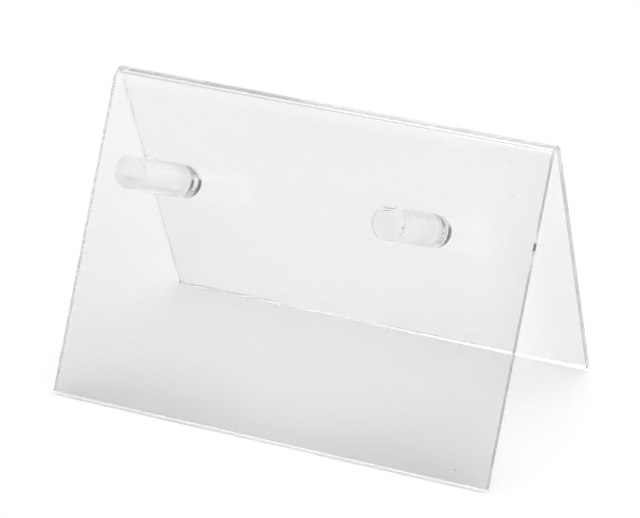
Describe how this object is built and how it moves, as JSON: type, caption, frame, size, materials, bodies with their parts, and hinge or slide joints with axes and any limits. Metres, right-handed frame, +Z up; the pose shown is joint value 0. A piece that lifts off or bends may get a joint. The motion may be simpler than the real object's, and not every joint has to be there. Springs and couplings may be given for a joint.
{
  "type": "slanted sign holder",
  "caption": "Clear tabletop stand folded from one acrylic sheet into a tent, with round clear pegs on its sloping front panel to hang a sign or small goods on.",
  "frame": {"origin": "on the table, in the middle of the holder's bounding box", "axes": "+Z up; +X along the ridge, to the right as seen from the front; the front panel and the pegs look towards -Y"},
  "size_m": [0.1778, 0.1253, 0.1152],
  "materials": {
    "clear_sheet": "clear cast acrylic sheet, polished faces, saw-cut edges",
    "clear_rod": "clear acrylic rod, polished",
    "clear_cement": "cured clear acrylic cement"
  },
  "bodies": {
    "root": {"bent_sheet": "clear_sheet", "left_peg": "clear_rod", "right_peg": "clear_rod", "left_peg_bond": "clear_cement", "right_peg_bond": "clear_cement"}
  },
  "joints": []
}
